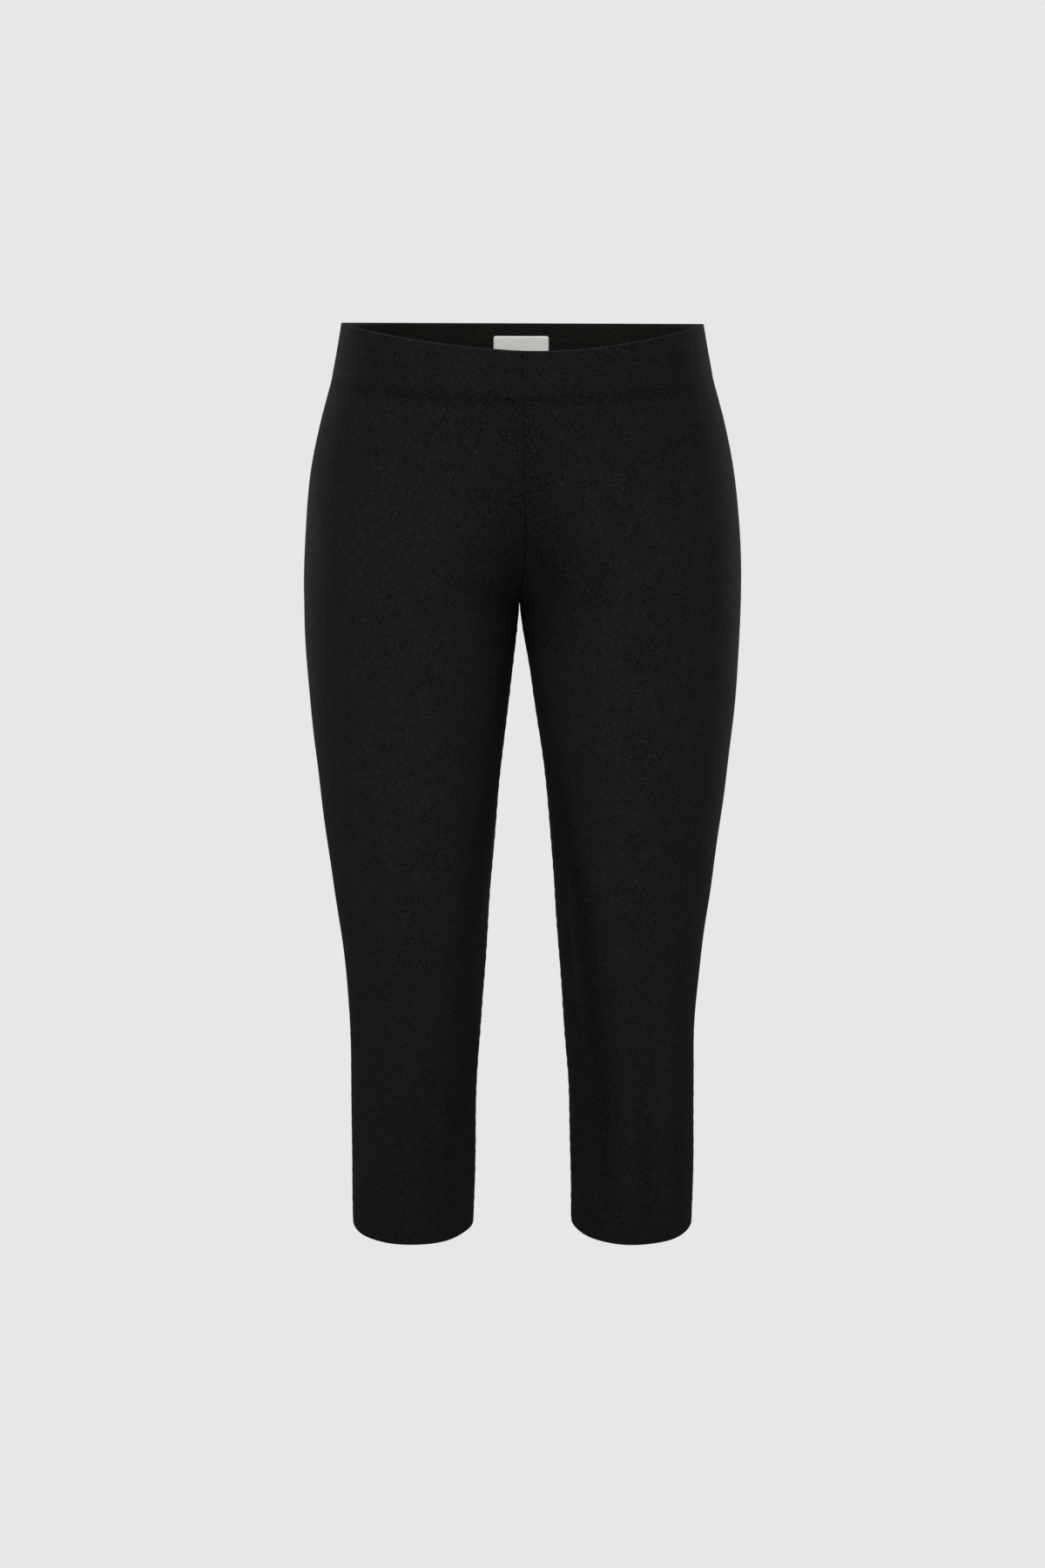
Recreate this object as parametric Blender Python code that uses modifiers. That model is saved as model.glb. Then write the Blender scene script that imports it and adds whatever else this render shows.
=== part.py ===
"""Capri pants in their worn shape: four leg panels, a waist elastic and a bare label.

Metres, +Z up.  The wearer faces -Y and the wearer's left is +X.  The origin is the middle of the
waist, level with the top edge at the sides and the back, so the garment hangs below it.

Every piece is drawn from one table of level sections.  A panel is a quarter of the garment: it
runs from the centre seam, or below the crotch from the inseam, round to the side seam.
"""

import math
from typing import NamedTuple

import bmesh
import bpy
from mathutils import Vector

GARMENT = "capri_pants"

# Cloth and seams
CLOTH = 0.0012            # thickness of the stretch cloth
SEAM_GAP = 0.0003         # between two panels along a seam
HEM_TURN = 0.025          # cloth turned up inside each leg opening
TURN_STEP = 0.002         # height over which the turned-up cloth ends

# Heights, measured down from the waist edge along the side seam
CROTCH = 0.218
HEM = 0.7455
CROWN_PARTING = 0.070     # where the one crown of the body starts to part into two legs
WAIST_DIP = 0.0195        # how much lower the waist edge is at the centre front
DIP_FADE = 0.200          # height over which the levels come back to flat in front
DIP_FALL = 1.5            # how quickly they do

# The crotch seam hangs in a U: the height over which each side turns under the body
FRONT_RISE_TURN = 0.105
BACK_RISE_TURN = 0.118

# Waist elastic and label
ELASTIC_WIDTH = 0.040
ELASTIC_THICK = 0.0012
ELASTIC_DROP = 0.0010     # its top edge lies this far below the folded top of the cloth
LABEL_WIDTH = 0.045
LABEL_TALL = 0.020
LABEL_DROP = 0.010        # its top edge, below the waist edge
LABEL_THICK = 0.0010
LABEL_GAP = 0.0004

# Mesh fineness
PANEL_COLUMNS = 16        # centre seam to side seam
SEAM_STRIP = 0.008        # first and last column, a share of the panel's width, square to its seam
ARC_STEPS = 40            # steps along each arc of a section before it is evened out
LEAST_REACH = 0.001       # keeps a section's inner arc from closing to nothing where it is flat
SLOPE_STEP = 0.01         # share of a section's length over which its direction is read
LABEL_COLUMNS = 6
LABEL_ROWS = 2


class Section(NamedTuple):
    """One level section of the left half; the right half mirrors it."""

    drop: float           # below the waist edge
    outer: float          # centre plane to side seam
    inner: float          # centre plane to inseam
    front: float          # side-seam plane to the foremost cloth
    back: float           # side-seam plane to the rearmost cloth
    power: float          # 2 is an ellipse, more is squarer
    lean: float           # centre seam's shift towards the wearer's left


SECTIONS = (
    #        drop   outer   inner   front   back    power  lean
    Section(0.0000, 0.1411, 0.0000, 0.0970, 0.0985, 2.20, 0.0000),
    Section(0.0250, 0.1459, 0.0000, 0.0985, 0.1005, 2.20, 0.0000),
    Section(0.0440, 0.1501, 0.0000, 0.0995, 0.1025, 2.20, 0.0002),
    Section(0.0800, 0.1600, 0.0000, 0.1005, 0.1070, 2.20, 0.0010),
    Section(0.1200, 0.1681, 0.0000, 0.0990, 0.1110, 2.20, 0.0016),
    Section(0.1700, 0.1730, 0.0000, 0.0945, 0.1110, 2.22, 0.0025),
    Section(0.2180, 0.1743, 0.0000, 0.0885, 0.1025, 2.22, -0.0025),
    Section(0.2800, 0.1725, 0.0079, 0.0820, 0.0910, 2.18, -0.0008),
    Section(0.3600, 0.1655, 0.0183, 0.0750, 0.0790, 2.15, 0.0000),
    Section(0.4400, 0.1563, 0.0252, 0.0685, 0.0695, 2.12, 0.0000),
    Section(0.5000, 0.1488, 0.0294, 0.0635, 0.0640, 2.10, 0.0000),
    Section(0.5600, 0.1440, 0.0338, 0.0595, 0.0590, 2.06, 0.0000),
    Section(0.6200, 0.1436, 0.0383, 0.0565, 0.0570, 2.02, 0.0000),
    Section(0.6800, 0.1444, 0.0400, 0.0550, 0.0560, 2.00, 0.0000),
    Section(0.7455, 0.1441, 0.0415, 0.0550, 0.0555, 2.00, 0.0000),
)


class Band(NamedTuple):
    """A stretch of the panel between two heights, and its rows of faces."""

    top: float
    foot: float
    rows: int


BANDS = (
    Band(0.0, ELASTIC_WIDTH, 3),
    Band(ELASTIC_WIDTH, 0.052, 3),
    Band(0.052, CROTCH - BACK_RISE_TURN, 3),
    Band(CROTCH - BACK_RISE_TURN, CROTCH, 10),
    Band(CROTCH, HEM - HEM_TURN - TURN_STEP, 19),
    Band(HEM - HEM_TURN - TURN_STEP, HEM - HEM_TURN, 1),
    Band(HEM - HEM_TURN, HEM, 2),
)
RISE_BAND = 3             # the band whose rows fan out from the curved crotch seam


class Crease(NamedTuple):
    """A soft trough across a panel, straight in its unrolled shape."""

    panel: str
    top: float            # drop where it starts
    top_share: float      # 0 at the inner seam, 1 at the side seam
    foot: float           # drop where it ends
    foot_share: float
    half_width: float
    depth: float


CREASES = (
    #       panel         top    share  foot   share  half    depth
    Crease("front_left", 0.320, 0.18, 0.745, 0.37, 0.0140, 0.0024),
    Crease("front_right", 0.380, 0.15, 0.680, 0.24, 0.0150, 0.0014),
    Crease("back_left", 0.300, 0.20, 0.590, 0.42, 0.0160, 0.0022),
    Crease("back_right", 0.330, 0.24, 0.660, 0.36, 0.0150, 0.0018),
)
ELASTIC_DENT = 0.0008     # the soft line under the elastic's lower edge, all round
DENT_HALF_WIDTH = 0.006
DENT_DROP = 0.046


class Finish(NamedTuple):
    """Plain colour and gloss of one material."""

    colour: tuple
    roughness: float


CLOTH_FINISH = Finish((0.012, 0.012, 0.013), 0.92)
ELASTIC_FINISH = Finish((0.018, 0.018, 0.019), 0.80)
LABEL_FINISH = Finish((0.60, 0.61, 0.58), 0.75)


def eased(share):
    """Smooth step from 0 to 1."""
    share = min(max(share, 0.0), 1.0)
    return share * share * (3.0 - 2.0 * share)


def table_slope(index, column):
    """Slope of one column of the section table at one of its rows."""
    before = SECTIONS[max(index - 1, 0)]
    after = SECTIONS[min(index + 1, len(SECTIONS) - 1)]
    return (after[column] - before[column]) / (after.drop - before.drop)


def section_at(drop):
    """Section at any height: a smooth curve through the rows of the table."""
    drop = min(max(drop, 0.0), HEM)
    index = 0
    while SECTIONS[index + 1].drop < drop:
        index += 1
    upper, lower = SECTIONS[index], SECTIONS[index + 1]
    span = lower.drop - upper.drop
    t = (drop - upper.drop) / span
    values = []
    for column in range(len(upper)):
        rise_in = table_slope(index, column) * span
        rise_out = table_slope(index + 1, column) * span
        values.append(
            (2 * t**3 - 3 * t**2 + 1) * upper[column]
            + (t**3 - 2 * t**2 + t) * rise_in
            + (3 * t**2 - 2 * t**3) * lower[column]
            + (t**3 - t**2) * rise_out
        )
    section = Section(*values)
    return section._replace(inner=max(section.inner, 0.0) if drop > CROTCH else 0.0)


def crotch_depth_share(drop, turn):
    """How far the centre seam stands out: 1 above its turn, 0 where it meets the inseam."""
    height = max(CROTCH - drop, 0.0)
    if height >= turn:
        return 1.0
    return math.sqrt(1.0 - (1.0 - height / turn) ** 2)


def crown_at(section):
    """Where a quarter section stands out furthest: the middle of the body, then of the leg."""
    parted = eased((section.drop - CROWN_PARTING) / (CROTCH - CROWN_PARTING))
    return parted * (section.outer + section.inner) / 2.0


def section_line(drop, is_front):
    """Points (x, depth) of a quarter section, from the inner seam round to the side seam."""
    section = section_at(drop)
    depth = section.front if is_front else section.back
    power = section.power
    crown = crown_at(section)
    out = crotch_depth_share(drop, FRONT_RISE_TURN if is_front else BACK_RISE_TURN)
    reach = max((1.0 - out**power) ** (1.0 / power), LEAST_REACH)
    start = math.asin(reach ** (power / 2.0))
    line = []
    for step in range(ARC_STEPS):
        angle = start * (1.0 - step / ARC_STEPS)
        across = math.sin(angle) ** (2.0 / power) / reach
        stand = math.cos(angle) ** (2.0 / power)
        line.append((crown - (crown - section.inner) * across, depth * stand))
    for step in range(ARC_STEPS + 1):
        angle = math.pi / 2.0 * step / ARC_STEPS
        across = math.sin(angle) ** (2.0 / power)
        stand = max(math.cos(angle), 0.0) ** (2.0 / power)
        line.append((crown + (section.outer - crown) * across, depth * stand))
    return line


def along(line, share):
    """Point at a share of a line's length."""
    lengths = [math.dist(a, b) for a, b in zip(line, line[1:])]
    left = share * sum(lengths)
    for (a, b), length in zip(zip(line, line[1:]), lengths):
        if left <= length and length > 0.0:
            t = left / length
            return (a[0] + (b[0] - a[0]) * t, a[1] + (b[1] - a[1]) * t)
        left -= length
    return line[-1]


def line_length(line):
    """Length of a line of points."""
    return sum(math.dist(a, b) for a, b in zip(line, line[1:]))


def dent_at(panel, drop, share, girth):
    """Depth of the soft folds at a place on a panel."""
    dent = ELASTIC_DENT * math.exp(-(((drop - DENT_DROP) / DENT_HALF_WIDTH) ** 2))
    for crease in CREASES:
        if crease.panel != panel or not crease.top < drop < crease.foot:
            continue
        t = (drop - crease.top) / (crease.foot - crease.top)
        middle = crease.top_share + (crease.foot_share - crease.top_share) * t
        away = (share - middle) * girth / crease.half_width
        dent += crease.depth * math.sin(math.pi * t) * math.exp(-(away**2))
    return dent


def place(drop, share, side, is_front, panel):
    """World point of the cloth's outer face.

    share runs from 0 at the inner seam to 1 at the side seam; side is 1 on the wearer's left.
    """
    line = section_line(drop, is_front)
    x, depth = along(line, share)
    dent = dent_at(panel, drop, share, line_length(line))
    outer = section_at(drop).outer
    if dent > 0.0:
        before = along(line, max(share - SLOPE_STEP, 0.0))
        after = along(line, min(share + SLOPE_STEP, 1.0))
        run = math.dist(before, after)
        x -= dent * (before[1] - after[1]) / run
        depth -= dent * (after[0] - before[0]) / run
    dip = WAIST_DIP * (1.0 - (x / outer) ** 2) * (1.0 - min(drop / DIP_FADE, 1.0)) ** DIP_FALL
    lean = section_at(drop).lean * (1.0 - x / outer) ** 2
    facing = -1.0 if is_front else 1.0
    return (side * x + lean, facing * depth, -drop - (dip if is_front else 0.0))


def column_share(column):
    """Share of a panel's width at one of its columns, between two narrow strips at the seams."""
    if column == 0:
        return 0.0
    if column == PANEL_COLUMNS:
        return 1.0
    return SEAM_STRIP + (1.0 - 2.0 * SEAM_STRIP) * (column - 1) / (PANEL_COLUMNS - 2)


def panel_drop(row, share):
    """Height of a panel point; in the rise band the rows crowd together towards the crotch."""
    for number, band in enumerate(BANDS):
        if row <= band.rows:
            t = row / band.rows
            level = band.top + (band.foot - band.top) * t
            if number == RISE_BAND:
                bunched = band.top + (band.foot - band.top) * math.sin(math.pi / 2.0 * t)
                level += (bunched - level) * (1.0 - share) ** 2
            return level
        row -= band.rows
    return HEM


def new_sheet(columns, rows, place_point):
    """Open grid whose points are placed by place_point(column, row)."""
    sheet = bmesh.new()
    bmesh.ops.create_grid(sheet, x_segments=columns, y_segments=rows, size=0.5)
    for vert in sheet.verts:
        column = round((vert.co.x + 0.5) * columns)
        row = round((vert.co.y + 0.5) * rows)
        vert.co = place_point(column, row)
    return sheet


def face_outwards(sheet, side):
    """Turn the sheet's faces away from the middle of the body or, with a side, of that leg."""
    sheet.normal_update()
    outward = 0.0
    for face in sheet.faces:
        centre = face.calc_center_median()
        middle = Vector((side * crown_at(section_at(-centre.z)), 0.0, centre.z))
        outward += (centre - middle).dot(face.normal)
    if outward < 0.0:
        bmesh.ops.reverse_faces(sheet, faces=sheet.faces)
    sheet.normal_update()


def move_inwards(sheet, distance):
    """Move a sheet off the cloth it was drawn on, to its inner side."""
    sheet.normal_update()
    moved = [vert.co - vert.normal * distance for vert in sheet.verts]
    for vert, point in zip(sheet.verts, moved):
        vert.co = point


def finish_material(name, finish):
    """Principled material of one piece."""
    material = bpy.data.materials.new(name)
    material.use_nodes = True
    shader = material.node_tree.nodes["Principled BSDF"]
    shader.inputs["Base Color"].default_value = (*finish.colour, 1.0)
    shader.inputs["Roughness"].default_value = finish.roughness
    return material


def add_wall(name, sheet, thick, finish, collection):
    """Named object: the sheet thickened inwards to a closed wall."""
    mesh = bpy.data.meshes.new(name)
    sheet.to_mesh(mesh)
    sheet.free()
    mesh.materials.append(finish_material(name, finish))
    mesh.shade_smooth()
    piece = bpy.data.objects.new(name, mesh)
    collection.objects.link(piece)
    wall = piece.modifiers.new("wall", "SOLIDIFY")
    wall.thickness = thick
    wall.offset = -1.0
    wall.use_even_offset = True
    return piece


def add_panel(name, side, is_front, collection):
    """Leg panel from waist to hem, doubled where the hem is turned up."""
    facing = -1.0 if is_front else 1.0

    def panel_point(column, row):
        share = column_share(column)
        x, y, z = place(panel_drop(row, share), share, side, is_front, name)
        return (x + side * SEAM_GAP / 2.0, y + facing * SEAM_GAP / 2.0, z)

    sheet = new_sheet(PANEL_COLUMNS, sum(band.rows for band in BANDS), panel_point)
    face_outwards(sheet, side)
    panel = add_wall(name, sheet, 2.0 * CLOTH, CLOTH_FINISH, collection)
    turned_up = panel.vertex_groups.new(name="hem_turn")
    turn_height = -(HEM - HEM_TURN) + TURN_STEP / 2.0
    doubled = [vert.index for vert in panel.data.vertices if vert.co.z < turn_height]
    turned_up.add(doubled, 1.0, "REPLACE")
    panel.modifiers["wall"].vertex_group = turned_up.name
    panel.modifiers["wall"].thickness_vertex_group = 0.5
    return panel


def add_elastic(collection):
    """Closed ring of elastic inside the waist, drawn on the panels and moved in."""
    quarters = (
        ("back_left", 1, False),
        ("front_left", 1, True),
        ("front_right", -1, True),
        ("back_right", -1, False),
    )
    rows = BANDS[0].rows

    def ring_point(column, row):
        quarter, step = divmod(column % (4 * PANEL_COLUMNS), PANEL_COLUMNS)
        panel, side, is_front = quarters[quarter]
        share = column_share(PANEL_COLUMNS - step if quarter % 2 else step)
        drop = max(ELASTIC_WIDTH * row / rows, ELASTIC_DROP)
        return place(drop, share, side, is_front, panel)

    sheet = new_sheet(4 * PANEL_COLUMNS, rows, ring_point)
    bmesh.ops.remove_doubles(sheet, verts=sheet.verts, dist=SEAM_GAP / 10.0)
    face_outwards(sheet, 0)
    move_inwards(sheet, CLOTH + SEAM_GAP)
    return add_wall("waist_elastic", sheet, ELASTIC_THICK, ELASTIC_FINISH, collection)


def add_label(collection):
    """Bare label on the elastic's inner face at the centre back."""

    def label_point(column, row):
        across = LABEL_WIDTH * (column / LABEL_COLUMNS - 0.5)
        drop = LABEL_DROP + LABEL_TALL * row / LABEL_ROWS
        share = abs(across) / line_length(section_line(drop, False))
        return place(drop, share, math.copysign(1.0, across), False, "back_left")

    sheet = new_sheet(LABEL_COLUMNS, LABEL_ROWS, label_point)
    face_outwards(sheet, 0)
    move_inwards(sheet, CLOTH + SEAM_GAP + ELASTIC_THICK + LABEL_GAP)
    return add_wall("back_label", sheet, LABEL_THICK, LABEL_FINISH, collection)


def main():
    """Empty the scene and build the garment."""
    for leftover in list(bpy.data.objects):
        bpy.data.objects.remove(leftover, do_unlink=True)
    garment = bpy.data.collections.new(GARMENT)
    bpy.context.scene.collection.children.link(garment)
    for side, side_name in ((1, "left"), (-1, "right")):
        add_panel(f"front_{side_name}", side, True, garment)
        add_panel(f"back_{side_name}", side, False, garment)
    add_elastic(garment)
    add_label(garment)


main()
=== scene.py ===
"""Looks of the capri pants: cloth, seams, hems, waist elastic and bare label, in a pale studio.

Metres, +Z up.  The wearer faces -Y and the wearer's left is +X.  The origin is the middle of the
waist, level with the top edge at the sides and the back.
"""

from __future__ import annotations

import logging  # noqa: E402
import math  # noqa: E402
from dataclasses import dataclass, field  # noqa: E402
from enum import Enum  # noqa: E402
from typing import Any, NamedTuple, Sequence  # noqa: E402

import bmesh  # noqa: E402
import bpy  # noqa: E402
import numpy as np  # noqa: E402
from mathutils import Matrix, Vector  # noqa: E402


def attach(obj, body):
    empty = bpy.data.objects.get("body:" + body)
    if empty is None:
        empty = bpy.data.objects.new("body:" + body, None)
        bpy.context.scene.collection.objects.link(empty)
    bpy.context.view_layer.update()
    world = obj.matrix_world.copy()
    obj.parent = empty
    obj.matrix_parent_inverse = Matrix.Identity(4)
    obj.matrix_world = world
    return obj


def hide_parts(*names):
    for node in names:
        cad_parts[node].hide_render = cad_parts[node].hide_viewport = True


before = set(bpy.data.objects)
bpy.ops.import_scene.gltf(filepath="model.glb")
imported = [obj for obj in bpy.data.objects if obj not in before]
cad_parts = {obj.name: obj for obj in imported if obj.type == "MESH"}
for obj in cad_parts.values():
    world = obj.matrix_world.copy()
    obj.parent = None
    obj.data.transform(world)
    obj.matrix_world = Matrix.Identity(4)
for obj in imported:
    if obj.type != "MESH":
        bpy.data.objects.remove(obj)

LOG = logging.getLogger("capri_pants")
BODY = "root"

Colour = tuple[float, float, float]
Waves = tuple[tuple[float, float, float, float], ...]    # two slopes, a phase and a strength each


# ---------------------------------------------------------------- worn form

class Section(NamedTuple):
    """One level section of the left half; the right half mirrors it.

    drop is below the waist edge; outer and inner are the side seam and the inseam from the
    centre plane; front and back are the depths; power is 2 for an ellipse and more for a
    squarer curve; lean is the centre seam's shift towards the wearer's left.
    """

    drop: Any
    outer: Any
    inner: Any
    front: Any
    back: Any
    power: Any
    lean: Any


SECTIONS: tuple[Section, ...] = (
    #        drop   outer   inner   front   back    power  lean
    Section(0.0000, 0.1411, 0.0000, 0.0970, 0.0985, 2.20, 0.0000),
    Section(0.0250, 0.1459, 0.0000, 0.0985, 0.1005, 2.20, 0.0000),
    Section(0.0440, 0.1501, 0.0000, 0.0995, 0.1025, 2.20, 0.0002),
    Section(0.0800, 0.1600, 0.0000, 0.1005, 0.1070, 2.20, 0.0010),
    Section(0.1200, 0.1681, 0.0000, 0.0990, 0.1110, 2.20, 0.0016),
    Section(0.1700, 0.1730, 0.0000, 0.0945, 0.1110, 2.22, 0.0025),
    Section(0.2180, 0.1743, 0.0000, 0.0885, 0.1025, 2.22, -0.0025),
    Section(0.2800, 0.1725, 0.0079, 0.0820, 0.0910, 2.18, -0.0008),
    Section(0.3600, 0.1655, 0.0183, 0.0750, 0.0790, 2.15, 0.0000),
    Section(0.4400, 0.1563, 0.0252, 0.0685, 0.0695, 2.12, 0.0000),
    Section(0.5000, 0.1488, 0.0294, 0.0635, 0.0640, 2.10, 0.0000),
    Section(0.5600, 0.1440, 0.0338, 0.0595, 0.0590, 2.06, 0.0000),
    Section(0.6200, 0.1436, 0.0383, 0.0565, 0.0570, 2.02, 0.0000),
    Section(0.6800, 0.1444, 0.0400, 0.0550, 0.0560, 2.00, 0.0000),
    Section(0.7455, 0.1441, 0.0415, 0.0550, 0.0555, 2.00, 0.0000),
)


class Panel(Enum):
    """The four leg panels, named as their nodes; left and right are the wearer's."""

    FRONT_LEFT = "front_left"
    FRONT_RIGHT = "front_right"
    BACK_LEFT = "back_left"
    BACK_RIGHT = "back_right"

    @property
    def side(self) -> float:
        """1 on the wearer's left, -1 on the right."""
        return 1.0 if self.value.endswith("left") else -1.0

    @property
    def is_front(self) -> bool:
        """Whether the panel is one of the two in front."""
        return self.value.startswith("front")

    @property
    def facing(self) -> float:
        """-1 in front, 1 behind."""
        return -1.0 if self.is_front else 1.0


class Fold(NamedTuple):
    """A soft trough in the cloth, or a ridge where its depth is negative.

    Each place is (drop, share): metres below the waist edge, and 0 at the inner seam to 1 at
    the side seam.  lip is the share of the depth that stands up along the fold's far side.
    """

    panel: Panel
    start: tuple[float, float]
    middle: tuple[float, float]
    end: tuple[float, float]
    half_width: float
    depth: float
    lip: float = 0.0


FOLDS: tuple[Fold, ...] = (
    # long soft troughs inside each leg, and the ridges beside them in front
    Fold(Panel.FRONT_LEFT, (0.320, 0.140), (0.500, 0.275), (0.720, 0.382), 0.0150, 0.0025),
    Fold(Panel.FRONT_LEFT, (0.420, 0.185), (0.504, 0.215), (0.585, 0.248), 0.0045, -0.0013),
    Fold(Panel.FRONT_RIGHT, (0.330, 0.160), (0.470, 0.235), (0.615, 0.305), 0.0115, 0.0008, 0.15),
    Fold(Panel.FRONT_RIGHT, (0.450, 0.165), (0.505, 0.170), (0.565, 0.160), 0.0055, -0.0007),
    Fold(Panel.BACK_LEFT, (0.300, 0.20), (0.445, 0.31), (0.590, 0.42), 0.0160, 0.0022, 0.20),
    Fold(Panel.BACK_RIGHT, (0.330, 0.24), (0.495, 0.30), (0.660, 0.36), 0.0150, 0.0018, 0.20),
    # soft hollows and drag lines that leave the crotch
    Fold(Panel.FRONT_LEFT, (0.110, 0.01), (0.190, 0.070), (0.262, 0.200), 0.0150, 0.0010),
    Fold(Panel.FRONT_LEFT, (0.150, 0.130), (0.199, 0.280), (0.250, 0.280), 0.0095, 0.0007, 0.45),
    Fold(Panel.FRONT_LEFT, (0.165, 0.080), (0.215, 0.190), (0.266, 0.275), 0.0120, 0.0014),
    Fold(Panel.FRONT_LEFT, (0.246, 0.06), (0.236, 0.20), (0.214, 0.36), 0.0085, 0.0007, 0.30),
    Fold(Panel.FRONT_RIGHT, (0.110, 0.01), (0.180, 0.080), (0.255, 0.240), 0.0190, 0.0009),
    Fold(Panel.FRONT_RIGHT, (0.217, 0.03), (0.202, 0.14), (0.184, 0.27), 0.0070, 0.0006, 0.30),
    Fold(Panel.FRONT_RIGHT, (0.252, 0.05), (0.246, 0.17), (0.232, 0.30), 0.0080, 0.0006, 0.30),
    Fold(Panel.BACK_LEFT, (0.216, 0.04), (0.196, 0.20), (0.160, 0.36), 0.0085, 0.0011, 0.35),
    Fold(Panel.BACK_RIGHT, (0.214, 0.04), (0.198, 0.18), (0.170, 0.31), 0.0080, 0.0010, 0.35),
    # under the seat
    Fold(Panel.BACK_LEFT, (0.238, 0.10), (0.258, 0.38), (0.244, 0.74), 0.0120, 0.0019, 0.30),
    Fold(Panel.BACK_RIGHT, (0.242, 0.12), (0.264, 0.42), (0.252, 0.70), 0.0125, 0.0017, 0.30),
    Fold(Panel.BACK_LEFT, (0.268, 0.16), (0.288, 0.36), (0.284, 0.56), 0.0110, 0.0010, 0.30),
    Fold(Panel.BACK_RIGHT, (0.276, 0.22), (0.298, 0.44), (0.300, 0.64), 0.0110, 0.0009, 0.25),
    # behind the knees
    Fold(Panel.BACK_LEFT, (0.462, 0.12), (0.474, 0.42), (0.462, 0.78), 0.0085, 0.0015, 0.40),
    Fold(Panel.BACK_LEFT, (0.505, 0.20), (0.498, 0.50), (0.512, 0.84), 0.0080, 0.0013, 0.40),
    Fold(Panel.BACK_LEFT, (0.532, 0.10), (0.541, 0.34), (0.533, 0.60), 0.0085, 0.0010, 0.35),
    Fold(Panel.BACK_RIGHT, (0.468, 0.18), (0.479, 0.48), (0.470, 0.84), 0.0085, 0.0014, 0.40),
    Fold(Panel.BACK_RIGHT, (0.500, 0.08), (0.508, 0.36), (0.499, 0.66), 0.0080, 0.0013, 0.40),
    Fold(Panel.BACK_RIGHT, (0.540, 0.26), (0.533, 0.55), (0.545, 0.82), 0.0085, 0.0010, 0.35),
    # slack of the lower legs
    Fold(Panel.FRONT_LEFT, (0.530, 0.470), (0.640, 0.468), (0.744, 0.465), 0.0070, -0.0006),
    Fold(Panel.FRONT_LEFT, (0.600, 0.550), (0.680, 0.550), (0.744, 0.556), 0.0070, 0.0008),
    Fold(Panel.FRONT_LEFT, (0.500, 0.632), (0.620, 0.648), (0.744, 0.655), 0.0070, -0.0011),
    Fold(Panel.FRONT_LEFT, (0.625, 0.745), (0.690, 0.750), (0.744, 0.752), 0.0062, 0.0009),
    Fold(Panel.FRONT_LEFT, (0.630, 0.332), (0.690, 0.345), (0.744, 0.355), 0.0070, 0.0006),
    Fold(Panel.FRONT_RIGHT, (0.590, 0.412), (0.670, 0.405), (0.744, 0.394), 0.0080, 0.0006),
    Fold(Panel.FRONT_RIGHT, (0.585, 0.282), (0.650, 0.272), (0.715, 0.264), 0.0090, 0.0004),
    Fold(Panel.FRONT_RIGHT, (0.640, 0.235), (0.700, 0.215), (0.744, 0.205), 0.0080, -0.0009),
    Fold(Panel.FRONT_RIGHT, (0.600, 0.115), (0.690, 0.105), (0.810, 0.100), 0.0120, -0.0016),
    Fold(Panel.FRONT_RIGHT, (0.600, 0.80), (0.660, 0.78), (0.720, 0.77), 0.0080, -0.0006),
    Fold(Panel.BACK_LEFT, (0.600, 0.66), (0.670, 0.63), (0.742, 0.62), 0.0090, 0.0011, 0.20),
    Fold(Panel.BACK_LEFT, (0.630, 0.30), (0.685, 0.29), (0.742, 0.27), 0.0080, -0.0008),
    Fold(Panel.BACK_RIGHT, (0.590, 0.60), (0.665, 0.64), (0.742, 0.66), 0.0090, 0.0010, 0.20),
    Fold(Panel.BACK_RIGHT, (0.640, 0.28), (0.690, 0.30), (0.742, 0.31), 0.0080, -0.0007),
    # the centre front
    Fold(Panel.FRONT_LEFT, (0.030, 0.0), (0.130, 0.03), (0.225, 0.08), 0.0310, 0.0012),
    Fold(Panel.FRONT_RIGHT, (0.030, 0.0), (0.130, 0.03), (0.225, 0.06), 0.0310, 0.0012),
    # across the hips
    Fold(Panel.FRONT_LEFT, (0.081, 0.40), (0.084, 0.53), (0.081, 0.68), 0.0042, 0.0006, 0.30),
    Fold(Panel.FRONT_RIGHT, (0.088, 0.72), (0.092, 0.58), (0.093, 0.42), 0.0042, 0.0007, 0.30),
    Fold(Panel.BACK_LEFT, (0.070, 0.30), (0.078, 0.52), (0.070, 0.78), 0.0100, 0.0008, 0.30),
    Fold(Panel.BACK_RIGHT, (0.074, 0.24), (0.082, 0.48), (0.075, 0.70), 0.0100, 0.0007, 0.30),
)


def eased(share: np.ndarray) -> np.ndarray:
    """Smooth step from 0 to 1."""
    share = np.clip(share, 0.0, 1.0)
    return share * share * (3.0 - 2.0 * share)


def rippled(first: np.ndarray, second: np.ndarray, turn: float, waves: Waves) -> np.ndarray:
    """Sum of sine waves over two distances, each wave's phase counted in turns."""
    parts = (
        strength * np.sin(first * slope + second * cross + turn * phase)
        for slope, cross, phase, strength in waves
    )
    return sum(parts)


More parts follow.
